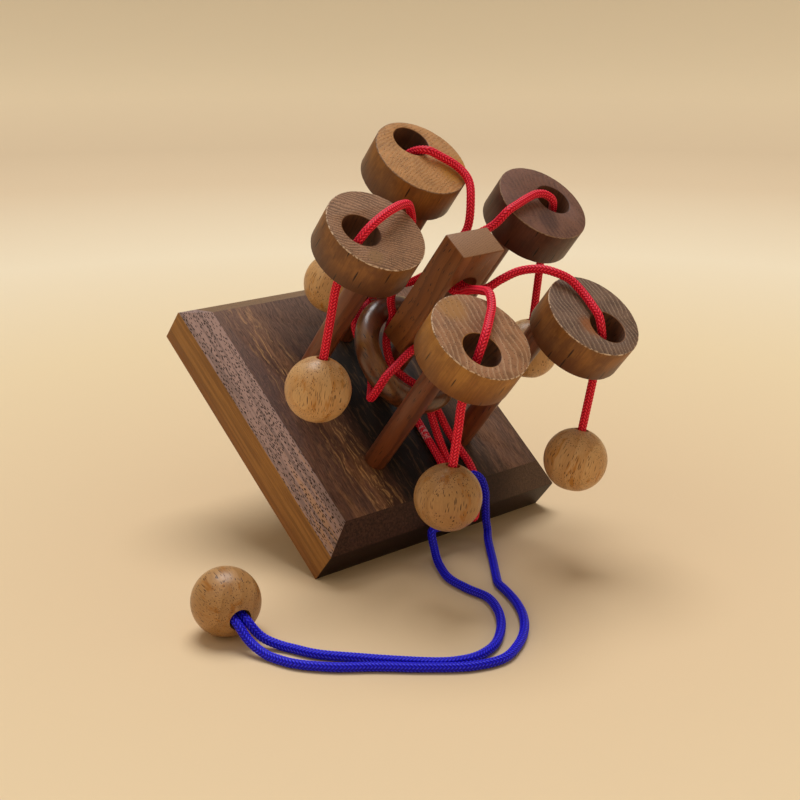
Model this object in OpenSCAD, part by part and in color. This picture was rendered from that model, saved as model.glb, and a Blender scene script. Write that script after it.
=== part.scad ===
// Rope puzzle. Five wooden balls hang on red cord from five discs, which stand on posts
// round a middle post with a cross hole. A loose wooden ring lies round the middle post,
// and a blue cord loop with a ball of its own is caught in the red cord.
// Millimetres. X runs along the front bottom edge of the board, Z is up, and Y runs away
// behind that edge. The board leans back on the edge, and the balls hang straight down.

/* [Board] */
// Side of the square board
board_w = 127; // [124:1:135]
// Height of the upright side of the board
board_side = 15.5; // [12:0.5:17]
// Full height of the board in the middle
board_h = 24; // [22:0.5:24]
// Width of the slope round the top of the board, seen from above
bevel_w = 9; // [5:0.5:10]
// How far the whole puzzle leans back from lying flat, in degrees
lean = 39; // [35:0.5:43]

/* [Posts and discs] */
// Diameter of the five outer posts
post_d = 9.5; // [8:0.1:10]
// Diameter of a disc
disc_d = 40; // [38:0.5:41]
// Thickness of a disc
disc_t = 15; // [12:0.5:15]
// Height of the top faces of the discs above the underside of the board
disc_top = 116.7; // [116:0.1:117]
// Diameter of the cord hole in each disc
disc_hole_d = 15.4; // [13:0.1:15.6]

/* [Middle post] */
// Width of the rectangular head
head_w = 22.6; // [20:0.1:23]
// Depth of the rectangular head
head_t = 12.6; // [11:0.1:12.8]
// Height of the top of the head above the underside of the board
head_top = 114.5; // [112:0.5:116]
// Length of the head
head_len = 57.5; // [50:0.5:57.5]
// Diameter of the stem under the head
stem_d = 9.5; // [8:0.1:9.6]
// Diameter of the cross hole in the head
head_hole_d = 15.2; // [15:0.1:16]

/* [Balls, ring and cord] */
// Diameter of a ball
ball_d = 25.4; // [22:0.1:25.6]
// Outer diameter of the loose ring
ring_d = 52.4; // [51:0.1:52.6]
// Thickness of the loose ring
ring_t = 10.2; // [9:0.1:10.2]
// Diameter of the red and blue cord
cord_d = 3.5; // [3:0.1:3.5]

/* [Hidden] */
$fn = 48;

// Plan positions on the board, from the middle of its front edge: back, left, right,
// front right and front left
disc_at = [[2, 107.3], [-44.2, 74.8], [46.9, 76], [28.1, 18.2], [-31.5, 20.3]];
hole_at = [[2.7, 116.3], [-50.7, 75.8], [53.6, 76.8], [30.4, 11.7], [-35.5, 14.7]];
post_at = [[1, 94.3], [-37, 73.5], [34, 74.5], [23.8, 30.5], [-23.9, 30.9]];
stem_at = [0, 63.5];
head_turn = 1.3;

// Centres of the hanging balls, upright as they hang
ball_at = [
    [-18, 41, 105.5], [-60.5, 0, 77], [51.5, -4.5, 74.5], [27, -53.5, 42.5], [-40.5, -50.5, 42.5]
];
loop_ball_at = [-117.5, -16.5, 12.7];
// Way out of the loop ball's mouth
loop_mouth = [-0.175, -0.96, -0.215];

socket_deep = 12;
disc_socket = 8;
glue_gap = 0.05;
ease = 0.8;
disc_under = disc_top - disc_t;
head_hole_z = 93.2;
cord_r = cord_d / 2;
cord_sides = 8;
// Gap between the fixed cord and the hanging cord, where the cord bends
bend_gap = 0.7;
// How far the bend lies below the disc and in front of the middle of its hole
bend_drop = 2.5;
bend_shift = [[-4.5, -2.5], [-4, -3.5], [4.8, -3], [4.5, -3.5], [0, -3]];
ball_bore_d = 4.6;
knot_bore_d = 10;
knot_d = 8.4;
knot_deep = 7.2;

// Middle of the loose ring and the way its axis points
ring_at = [-1.4, 59.9, 51.5];
ring_axis = [0.07, -0.29, 0.96];

// Centre lines of the red cord on the board, from the cord's bend below each disc hole
back_over = [
    [-0.4, 114.5, 106], [2, 112.9, 114.2], [4.2, 108.5, 119.2], [9, 104.5, 119],
    [13.5, 98.5, 119], [14, 91, 119], [11.1, 83, 116], [9, 75.8, 107.4], [3.6, 73.3, 100.6],
    [-2.5, 71.5, 94.5], [-3.2, 66, 92.8], [-3.2, 60, 92.8]
];
front_left_over = [
    [-2.2, 55.5, 95], [-5, 50.5, 102.5], [-10, 43.5, 111], [-16.3, 36.2, 118.5],
    [-20, 30.5, 119], [-25, 25.5, 119], [-31, 20, 119], [-34.5, 16, 115.5], [-35.8, 12.8, 108]
];
right_over = [
    [57, 74.6, 106.5], [54.4, 75.2, 113.6], [51.2, 76, 118], [47.2, 77.8, 119.6],
    [42.6, 78.5, 119.6], [37, 77.4, 119.3], [30.2, 75.4, 119], [22.8, 73.2, 118.1],
    [19, 72.6, 111.8], [13.4, 73.6, 105.4], [7, 73.5, 98.5], [3.5, 71, 94], [3.2, 66, 93],
    [3.2, 60, 93]
];
front_right_over = [
    [4, 56, 95], [6.5, 52.3, 98.5], [10, 50.5, 105.5], [14, 48.5, 111.5], [18, 43.5, 117.5],
    [21.5, 39, 119.6], [26, 35, 119.4], [28, 28.5, 119], [27.8, 21, 119], [27.5, 16, 118.6],
    [27.2, 12.4, 116.6], [28.6, 10.2, 113], [32.4, 9, 105.5]
];
left_over = [
    [-54.6, 72.2, 107], [-54, 72.2, 114.5], [-50.8, 73.6, 119], [-46, 75.6, 121],
    [-40.6, 77.6, 122], [-35.6, 79.4, 121.9], [-30, 81.4, 120.9], [-25.2, 82.2, 119.8],
    [-21.5, 82.2, 115.8], [-18.2, 81, 109.5], [-16.8, 78.5, 99], [-14.5, 76.8, 88],
    [-12, 77, 78]
];
// On from there: down through the ring, under it to the front edge, round the blue
// cord, back up over the ring, round under it and up to the cross hole
ring_pass = [
    [-9, 76, 68], [-7, 72.6, 62], [-6.3, 72, 57], [-7.5, 68, 51], [-6.8, 60, 45.5],
    [-2.5, 54.5, 43], [3.2, 49, 41], [6.6, 42.4, 36], [8.3, 35, 30.5], [8.7, 28.6, 27.4]
];
front_bight = [
    [8.2, 22.4, 26], [7.3, 16.5, 26.3], [4.3, 10, 27.8], [2.9, 3.5, 27.2], [3.9, -1.8, 24.2],
    [5.4, -4.8, 21.2], [8, -5, 19.8], [10.3, -2.4, 20.6], [12, 1.6, 22.8], [13, 5.2, 24.2],
    [15.1, 9.9, 26.3], [17, 17, 26.3], [17, 25, 26.3], [16, 31.5, 27.5], [13.5, 38, 31.5]
];
ring_wrap = [
    [11, 44, 35.5], [8.8, 50.5, 41], [7.5, 52.3, 47.5], [4.5, 53, 55], [0, 54, 60.5],
    [-4.5, 54.9, 63.5], [-9, 54.6, 62.6], [-16.5, 52, 58.8], [-24, 48.8, 56.8],
    [-27.2, 46.8, 52.5], [-27, 47, 47.5], [-25.5, 48.4, 43.8], [-21.5, 52, 41.2],
    [-17, 58.5, 41.5], [-15.5, 68, 44.5]
];
hole_climb = [
    [-15.5, 80.5, 50], [-9.5, 85.5, 51.5], [-3.5, 88, 54], [-6, 88, 61], [-2, 85, 66.5],
    [3.5, 81.5, 71], [3.2, 77, 80], [1, 72.5, 87.2], [0, 66, 88.6], [0, 62, 88.6]
];

// Centre line of the short tail of red cord that lies beside the front loop
glued_tail = [
    [6.3, 44.5, 25.9], [6, 40, 25.9], [5.3, 33, 25.9], [4.9, 28, 25.9], [4.4, 23, 25.9],
    [4, 20, 25.9], [3.1, 16.6, 25.9], [2, 13.6, 25.9]
];

// Centre line of the blue cord: the inner run on the table, the hook round the red
// bight, measured on the board, and the outer run on the table
blue_inner = [
    [-115, -34.1, 4.3], [-110.7, -41.4, 1.8], [-105.8, -53.6, 1.8], [-97.7, -64.5, 1.8],
    [-88.7, -75.6, 1.8], [-79.3, -85.8, 1.8], [-74.3, -89.4, 1.8], [-67.3, -91.8, 1.8],
    [-60.5, -91.4, 1.8], [-53.7, -89, 1.8], [-42.3, -80.6, 1.8], [-33.5, -70.3, 1.8],
    [-28.3, -59.7, 1.8], [-28.3, -49.8, 1.8], [-26.7, -37.4, 1.8], [-19.9, -24.5, 1.8],
    [-15.7, -17.6, 4.6]
];
blue_hook = [
    [-14, -3.9, 17.9], [-6, -3.6, 17.6], [0, -3, 18], [4, 0.8, 20.9], [6.6, 5.6, 25],
    [8.6, 8.6, 28.2], [11.5, 9, 29.9], [14.2, 6.6, 29.4], [15.2, 2, 26.6], [15.3, -2.2, 22],
    [15.5, -6.6, 17]
];
blue_outer = [
    [15.7, -16.5, 4.8], [11.4, -21, 3.4], [5, -28.8, 2.1], [-0.2, -35.1, 1.8],
    [-11.8, -48.5, 1.8], [-15.9, -53.6, 1.8], [-18.1, -59, 1.8], [-22.5, -68.5, 1.8],
    [-29.5, -79.2, 1.8], [-38.5, -88.4, 1.8], [-49.2, -95.4, 1.8], [-60.5, -99.2, 1.8],
    [-72.4, -95.9, 1.8], [-84.7, -86.2, 1.8], [-96.7, -74.6, 1.8], [-108.5, -64.3, 1.8],
    [-116, -54.2, 1.8], [-119.2, -44, 1.8], [-121, -35.3, 4.8]
];

function unit(v) = v / norm(v);

// A point measured on the board, turned into the leaning position
function leaned(p) =
    [p.x, p.y * cos(lean) - p.z * sin(lean), p.y * sin(lean) + p.z * cos(lean)];

// The same point turned back onto the flat board
function flat(p) =
    [p.x, p.y * cos(lean) + p.z * sin(lean), p.z * cos(lean) - p.y * sin(lean)];

// Where the cord bends below the hole of disc i, measured on the board
function bend(i) =
    [hole_at[i].x + bend_shift[i].x, hole_at[i].y + bend_shift[i].y, disc_under - bend_drop];

// The way the cord hangs from disc i, measured on the board
function hang(i) = unit(flat(ball_at[i]) - bend(i));

// Last point of the fixed cord at disc i
function cord_stop(i) = bend(i) - bend_gap * hang(i);

// Direction of a route at its point i
function heading(p, i) = unit(p[min(i + 1, len(p) - 1)] - p[max(i - 1, 0)]);

// A direction across the route at point i, carried along it without twist
function across(p, i) =
    i == 0 ? unit(cross(heading(p, 0), abs(heading(p, 0).z) < 0.9 ? [0, 0, 1] : [1, 0, 0]))
    : let (s = across(p, i - 1), t = heading(p, i)) unit(s - (s * t) * t);

function backwards(p) = [for (i = [len(p) - 1 : -1 : 0]) p[i]];

// A cord along the points of a route, with one ring of corners at each point
module tube(route) {
    n = len(route);
    corners = [
        for (i = [0 : n - 1])
            let (t = heading(route, i), s = across(route, i), b = cross(t, s))
                for (k = [0 : cord_sides - 1])
                    let (a = 360 * (k + 0.5) / cord_sides)
                        route[i] + cord_r * (cos(a) * s + sin(a) * b)
    ];
    first = [for (k = [0 : cord_sides - 1]) k];
    last = [for (k = [cord_sides - 1 : -1 : 0]) (n - 1) * cord_sides + k];
    walls = [
        for (i = [0 : n - 2])
            for (k = [0 : cord_sides - 1])
                let (j = (k + 1) % cord_sides, a = i * cord_sides, b = a + cord_sides)
                    each [[a + k, b + j, a + j], [a + k, b + k, b + j]]
    ];
    polyhedron(points = corners, faces = concat([first], walls, [last]));
}

// Everything that stands on the board is drawn flat and leaned back here
module on_board() {
    rotate([lean, 0, 0]) children();
}

// Turns the upward axis to the given direction
module aim(v) {
    rotate([0, acos(v.z / norm(v)), atan2(v.y, v.x)]) children();
}

// Outline of a rectangle with rounded corners
module rounded(w, d, r) {
    square([w - 2 * r, d], center = true);
    square([w, d - 2 * r], center = true);
    for (x = [-1, 1], y = [-1, 1])
        translate([x * (w / 2 - r), y * (d / 2 - r)]) circle(r);
}

// Side view of the board: upright sides, then the slope, then the flat top
module board_side_view() {
    polygon([
        [-board_w / 2, 0], [board_w / 2, 0], [board_w / 2, board_side],
        [board_w / 2 - bevel_w, board_h], [-board_w / 2 + bevel_w, board_h],
        [-board_w / 2, board_side]
    ]);
}

module base_board() {
    color("#5b3a20") on_board() difference() {
        translate([0, board_w / 2, 0]) intersection() {
            linear_extrude(board_h) rounded(board_w, board_w, 1.2);
            translate([0, board_w / 2, 0]) rotate([90, 0, 0])
                linear_extrude(board_w) board_side_view();
            translate([-board_w / 2, 0, 0]) rotate([90, 0, 90])
                linear_extrude(board_w) board_side_view();
        }
        for (p = post_at)
            translate([p.x, p.y, board_h - socket_deep])
                cylinder(h = socket_deep + 1, d = post_d + 2 * glue_gap);
        translate([stem_at.x, stem_at.y, board_h - socket_deep])
            cylinder(h = socket_deep + 1, d = stem_d + 2 * glue_gap);
    }
}

module middle_post_stem() {
    stem_low = board_h - socket_deep;
    color("#6b4227") on_board() translate([stem_at.x, stem_at.y, stem_low])
        cylinder(h = head_top - head_len + socket_deep - stem_low, d = stem_d);
}

// Rectangular head with rounded edges, a socket for the stem and the cross hole
module middle_post_head() {
    color("#8a5a35") on_board() translate([stem_at.x, stem_at.y, head_top - head_len])
        rotate([0, 0, head_turn]) difference() {
            intersection() {
                linear_extrude(head_len) rounded(head_w, head_t, ease);
                translate([0, head_t, head_len / 2]) rotate([90, 0, 0])
                    linear_extrude(2 * head_t) rounded(head_w, head_len, ease);
                translate([-head_w, 0, head_len / 2]) rotate([90, 0, 90])
                    linear_extrude(2 * head_w) rounded(head_t, head_len, ease);
            }
            translate([0, 0, -1]) cylinder(h = socket_deep + 1, d = stem_d + 2 * glue_gap);
            translate([0, head_t, head_hole_z - head_top + head_len]) rotate([90, 0, 0])
                cylinder(h = 2 * head_t, d = head_hole_d);
        }
}

// Post i, from its socket in the board to its socket in the disc
module post(i) {
    post_low = board_h - socket_deep;
    color("#8d5a38") on_board() translate([post_at[i].x, post_at[i].y, post_low])
        cylinder(h = disc_under + disc_socket - post_low, d = post_d);
}

module post_back() { post(0); }
module post_left() { post(1); }
module post_right() { post(2); }
module post_front_right() { post(3); }
module post_front_left() { post(4); }

// Disc i with eased rims, its cord hole and the socket for its post
module disc(i, tint) {
    r = disc_d / 2;
    color(tint) on_board() difference() {
        translate([disc_at[i].x, disc_at[i].y, disc_under]) {
            rotate_extrude($fn = 96) union() {
                square([r - ease, disc_t]);
                translate([0, ease]) square([r, disc_t - 2 * ease]);
                for (z = [ease, disc_t - ease]) translate([r - ease, z]) circle(ease);
            }
        }
        translate([hole_at[i].x, hole_at[i].y, disc_under - 1])
            cylinder(h = disc_t + 2, d = disc_hole_d);
        translate([hole_at[i].x, hole_at[i].y, disc_top - 0.6])
            cylinder(h = 1.2, d1 = disc_hole_d, d2 = disc_hole_d + 2.4);
        translate([post_at[i].x, post_at[i].y, disc_under - 1])
            cylinder(h = disc_socket + 1, d = post_d + 2 * glue_gap);
    }
}

module disc_back() { disc(0, "#a9794a"); }
module disc_left() { disc(1, "#9a6c40"); }
module disc_right() { disc(2, "#5c3820"); }
module disc_front_right() { disc(3, "#a8825a"); }
module disc_front_left() { disc(4, "#b98d55"); }

// Hanging ball i, bored for the cord and bored wider from below for its knot
module ball(i) {
    color("#c9a06b") translate(ball_at[i]) aim(ball_at[i] - leaned(bend(i))) difference() {
        sphere(d = ball_d, $fn = 96);
        cylinder(h = 2 * ball_d, d = ball_bore_d, center = true);
        translate([0, 0, -ball_d / 2 - 1]) cylinder(h = 2.2, d1 = 8, d2 = ball_bore_d);
        translate([0, 0, knot_deep - knot_d / 2 - 0.3]) cylinder(h = ball_d, d = knot_bore_d);
    }
}

module ball_back() { ball(0); }
module ball_left() { ball(1); }
module ball_right() { ball(2); }
module ball_front_right() { ball(3); }
module ball_front_left() { ball(4); }

// The red cord from its bend below disc i into ball i, with the knot that holds the ball
module hanging_cord(i) {
    top = leaned(bend(i));
    way = unit(ball_at[i] - top);
    color("#c81f33") translate(ball_at[i]) aim(way) {
        translate([0, 0, knot_deep]) sphere(d = knot_d);
        translate([0, 0, bend_gap - norm(ball_at[i] - top)])
            cylinder(h = norm(ball_at[i] - top) + knot_deep - bend_gap, d = cord_d);
    }
}

module hanging_cord_back() { hanging_cord(0); }
module hanging_cord_left() { hanging_cord(1); }
module hanging_cord_right() { hanging_cord(2); }
module hanging_cord_front_right() { hanging_cord(3); }
module hanging_cord_front_left() { hanging_cord(4); }

module red_cord_back_to_front_left() {
    color("#c81f33") on_board()
        tube(concat([cord_stop(0)], back_over, front_left_over, [cord_stop(4)]));
}

module red_cord_right_to_front_right() {
    color("#c81f33") on_board()
        tube(concat([cord_stop(2)], right_over, front_right_over, [cord_stop(3)]));
}

module red_cord_left_loop() {
    color("#c81f33") on_board()
        tube(concat([cord_stop(1)], left_over, ring_pass, front_bight, ring_wrap, hole_climb));
}

// A cut length of the same cord, glued on the board beside the front loop
module red_cord_tail() {
    color("#c81f33") on_board() tube(glued_tail);
}

module wooden_ring() {
    color("#7a4e2c") on_board() translate(ring_at) aim(ring_axis)
        rotate_extrude($fn = 96) translate([ring_d / 2 - ring_t / 2, 0]) circle(d = ring_t);
}

// Both ends of the blue cord go into the loop ball side by side, as far as their knot
module blue_cord_loop() {
    way = unit(loop_mouth);
    beside = 1.9 * unit(cross(way, [0, 0, 1]));
    ends = [for (s = [-1, 1]) [for (d = [0, 12.7]) loop_ball_at + d * way + s * beside]];
    color("#2f5bb0") tube(concat(
        ends[0], blue_inner, [for (p = blue_hook) leaned(p)], blue_outer, backwards(ends[1])
    ));
}

// The knot that joins the two ends of the blue cord inside the loop ball
module blue_cord_knot() {
    color("#2f5bb0") translate(loop_ball_at - 5 * unit(loop_mouth)) sphere(d = knot_d + 1);
}

module loop_ball() {
    color("#c9a06b") translate(loop_ball_at) aim(-loop_mouth) difference() {
        sphere(d = ball_d, $fn = 96);
        translate([0, 0, -ball_d]) cylinder(h = ball_d, d = 8.4);
        translate([0, 0, -0.5]) cylinder(h = ball_d, d = knot_bore_d + 0.6);
    }
}

base_board();
middle_post_stem();
middle_post_head();
post_back();
post_left();
post_right();
post_front_right();
post_front_left();
disc_back();
disc_left();
disc_right();
disc_front_right();
disc_front_left();
ball_back();
ball_left();
ball_right();
ball_front_right();
ball_front_left();
hanging_cord_back();
hanging_cord_left();
hanging_cord_right();
hanging_cord_front_right();
hanging_cord_front_left();
red_cord_back_to_front_left();
red_cord_right_to_front_right();
red_cord_left_loop();
red_cord_tail();
wooden_ring();
blue_cord_loop();
blue_cord_knot();
loop_ball();
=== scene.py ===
import math

import bpy
import numpy as np
from mathutils import Matrix, Vector, noise


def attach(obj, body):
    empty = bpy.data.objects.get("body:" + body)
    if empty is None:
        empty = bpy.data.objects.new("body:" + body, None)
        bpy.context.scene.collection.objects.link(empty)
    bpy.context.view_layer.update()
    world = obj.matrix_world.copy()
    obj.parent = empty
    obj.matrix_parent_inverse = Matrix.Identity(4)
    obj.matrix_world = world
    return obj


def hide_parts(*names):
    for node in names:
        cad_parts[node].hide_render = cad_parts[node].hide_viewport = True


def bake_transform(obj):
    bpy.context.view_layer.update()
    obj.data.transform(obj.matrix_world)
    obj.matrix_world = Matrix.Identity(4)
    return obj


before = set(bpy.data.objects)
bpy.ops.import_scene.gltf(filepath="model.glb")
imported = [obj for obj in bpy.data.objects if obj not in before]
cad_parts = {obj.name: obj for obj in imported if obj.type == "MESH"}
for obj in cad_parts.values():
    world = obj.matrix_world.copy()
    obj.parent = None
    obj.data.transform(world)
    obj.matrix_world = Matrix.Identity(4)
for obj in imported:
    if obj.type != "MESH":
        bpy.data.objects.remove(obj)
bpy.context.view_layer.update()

# The base board
# One thick square of dark figured hardwood, planed and oiled, with a slope cut round its top.
# Its grain runs from front to back. The posts are glued into blind sockets in it.
MM = 0.001
LEAN = math.radians(39)
# Everything fixed to the board is laid out flat on it and leans back with it
LEAN_BACK = Matrix.Rotation(LEAN, 3, "X")
BOARD_W = 127
BOARD_SIDE = 15.5
BOARD_H = 24
SLOPE_W = 9
SOCKET_DEEP = 12
POST_D = 9.5
GLUE_GAP = 0.05
# Plan positions on the board, from the middle of its front edge
POST_AT = {
    "back": (1, 94.3), "left": (-37, 73.5), "right": (34, 74.5),
    "front_right": (23.8, 30.5), "front_left": (-23.9, 30.9),
}
STEM_AT = (0, 63.5)


def leaned(point):
    """A point in millimetres on the flat board, in millimetres in the leaning pose."""
    return LEAN_BACK @ Vector(point)


def metres(*place):
    """A place given in millimetres, in Blender's metres."""
    return tuple(v * MM for v in place)


def fresh(kind, name, **sizes):
    """Adds a primitive with nothing else selected, ready to be shaped."""
    bpy.ops.object.select_all(action="DESELECT")
    getattr(bpy.ops.mesh, "primitive_" + kind + "_add")(**sizes)
    piece = bpy.context.object
    piece.name = name
    piece.data.name = name
    return piece


def pick(piece, wanted):
    """Selects the faces of a piece whose centre and normal are wanted."""
    bpy.ops.object.mode_set(mode="EDIT")
    bpy.ops.mesh.select_all(action="DESELECT")
    bpy.ops.object.mode_set(mode="OBJECT")
    for face in piece.data.polygons:
        face.select = wanted(face.center, face.normal)
    bpy.ops.object.mode_set(mode="EDIT")
    bpy.ops.mesh.select_mode(type="FACE")


def finish_with(piece, kind, **settings):
    """Puts a modifier on a piece and applies it."""
    modifier = piece.modifiers.new(kind, kind)
    for name, value in settings.items():
        setattr(modifier, name, value)
    with bpy.context.temp_override(object=piece, active_object=piece, selected_objects=[piece]):
        bpy.ops.object.modifier_apply(modifier=modifier.name)


def cut(piece, cutter):
    """Takes the cutter's shape out of a piece and throws the cutter away."""
    finish_with(piece, "BOOLEAN", operation="DIFFERENCE", solver="EXACT", object=cutter)
    mesh = cutter.data
    bpy.data.objects.remove(cutter)
    bpy.data.meshes.remove(mesh)


# An edge sharper than this is eased, and a flatter one is shaded smooth
EDGE_ANGLE = math.radians(35)


def ease_edges(piece, width, segments=2):
    """Takes the sharpness off the edges and shades the rest smooth."""
    finish_with(
        piece, "BEVEL", width=width * MM, segments=segments, limit_method="ANGLE",
        angle_limit=EDGE_ANGLE, harden_normals=False,
    )
    bpy.ops.object.select_all(action="DESELECT")
    piece.select_set(True)
    bpy.context.view_layer.objects.active = piece
    bpy.ops.object.shade_smooth_by_angle(angle=EDGE_ANGLE)


def lean_into_place(piece):
    """Applies a piece's place on the flat board to its mesh and leans it back with the board."""
    piece.data.transform(LEAN_BACK.to_4x4() @ piece.matrix_basis)
    piece.matrix_basis = Matrix.Identity(4)


def linear(hex_code):
    """An sRGB hex colour as the linear colour that a shader takes."""
    parts = [int(hex_code[i:i + 2], 16) / 255 for i in (1, 3, 5)]
    return [c / 12.92 if c < 0.04045 else ((c + 0.055) / 1.055) ** 2.4 for c in parts] + [1.0]


# What most nodes of these two kinds are set to
USUAL = {"Mix": {"data_type": "RGBA"}, "MapRange": {"interpolation_type": "SMOOTHSTEP"}}


def feed(tree, node, values):
    """Gives a node's sockets values or links, by name or in the order of the sockets in use.

    A node given as a value stands for its first output in use, and a hex colour is made linear.
    """
    in_use = [index for index, socket in enumerate(node.inputs) if socket.enabled]
    for key, value in values.items() if isinstance(values, dict) else zip(in_use, values):
        if isinstance(value, bpy.types.Node):
            value = next(socket for socket in value.outputs if socket.enabled)
        if isinstance(value, bpy.types.NodeSocket):
            tree.links.new(value, node.inputs[key])
        else:
            node.inputs[key].default_value = linear(value) if isinstance(value, str) else value


def add(tree, kind, values=(), **settings):
    """Adds one shader node, with its settings, values and links."""
    node = tree.nodes.new("ShaderNode" + kind)
    for name, value in {**USUAL.get(kind, {}), **settings}.items():
        setattr(node, name, value)
    feed(tree, node, values)
    return node


def new_material(name, roughness, coat=0.0, specular=0.5):
    """A material with one principled shader; returns it, its tree and the shader."""
    material = bpy.data.materials.new(name)
    material.use_nodes = True
    tree = material.node_tree
    tree.nodes.clear()
    shader = add(tree, "BsdfPrincipled", {
        "Roughness": roughness, "Coat Weight": coat, "Coat Roughness": 0.2,
        "Specular IOR Level": specular, "IOR": 1.5,
    })
    add(tree, "OutputMaterial", {"Surface": shader})
    return material, tree, shader


# Rotations that turn the grain to Z: along the board's slope, and square to the board
ALONG_BOARD = (math.radians(90) - LEAN, 0, 0)
SQUARE_TO_BOARD = (-LEAN, 0, 0)
# How much of its cell a pore fills, and how soft its edge is there
PORE_FILL = 0.42
PORE_EDGE = 0.14


def in_mm(tree, turned):
    """A piece's own coordinates in millimetres, turned so that its grain runs along Z."""
    place = add(tree, "TexCoord").outputs["Object"]
    return add(tree, "Mapping", {"Vector": place, "Rotation": turned, "Scale": (1000, 1000, 1000)})


def grain_lines(tree, wood, across, along, detail=4.0, seed=0.0):
    """Fine lines along Z, with their mean width and length in millimetres."""
    spread = add(tree, "Mapping", {
        "Vector": wood, "Scale": (1 / across, 1 / across, 1 / along), "Location": (seed, 3, seed),
    })
    return add(tree, "TexNoise", {"Vector": spread, "Scale": 1.0, "Detail": detail, "Roughness": 0.62})


def pores_in(tree, wood, wide, long, share, seed, reach=0.34):
    """Open pores as dark dashes along Z: 1 inside a pore and 0 outside, in millimetres."""
    spread = add(tree, "Mapping", {
        "Vector": wood, "Scale": (PORE_FILL / wide, PORE_FILL / wide, PORE_FILL / long),
        "Location": (seed, 0, 7),
    })
    cells = add(tree, "TexVoronoi", {"Vector": spread, "Scale": 1.0, "Randomness": 1.0})
    dash = add(tree, "MapRange", (cells.outputs["Distance"], reach - PORE_EDGE, reach, 1.0, 0.0))
    # Each cell has its own chance of holding a pore
    lot = add(tree, "SeparateColor", {"Color": cells.outputs["Color"]}).outputs[0]
    chosen = add(tree, "Math", (lot, share), operation="LESS_THAN")
    return add(tree, "Math", (dash, chosen), operation="MULTIPLY")


def swayed(tree, bent, wood, scale, reach, detail, start=(0, 0, 0)):
    """Pushes straight grain about, up to half the reach, by a soft noise read from the wood."""
    noisy = add(tree, "Mapping", {"Vector": wood, "Scale": scale, "Location": start})
    noisy = add(tree, "TexNoise", {"Vector": noisy, "Scale": 1.0, "Detail": detail})
    shift = add(tree, "VectorMath", (noisy.outputs["Color"], (0.5, 0.5, 0.5)), operation="SUBTRACT")
    shift = add(tree, "VectorMath", (shift, reach), operation="SCALE")
    return add(tree, "VectorMath", (bent, shift), operation="ADD")


def colours_along(tree, value, low, high, stops):
    """Colours that follow one another from low to high, each at its own reading of the value."""
    share = add(tree, "MapRange", (value, low, high), interpolation_type="LINEAR")
    ramp = add(tree, "ValToRGB", {"Fac": share})
    while len(ramp.color_ramp.elements) < len(stops):
        ramp.color_ramp.elements.new(0.5)
    for element, (at, colour) in zip(ramp.color_ramp.elements, stops):
        element.position = (at - low) / (high - low)
        element.color = linear(colour)
    return ramp


# The board's left side, how far its edges are eased, and how sharply its colours change there
LEFT = -BOARD_W / 2
BOARD_EASE = 0.35
SHARP = 0.1
# The colour bands across the board, by their place from its middle
BAND_REACH = 64
BANDS = (
    (-60, "#5d433b"), (-52, "#573d34"), (-46, "#644435"), (-42, "#5a3f33"), (-37, "#80593f"),
    (-32, "#63442f"), (-26, "#452e25"), (-16, "#1d1615"), (2, "#130f0e"), (20, "#201816"),
    (34, "#513c31"), (44, "#7a5947"), (58, "#5c453a"),
)
# The golden lane: its place left of the middle, how it slants, and its half width
LANE_AT = 30.5
LANE_SLANT = 0.1
LANE_W = 11


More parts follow.
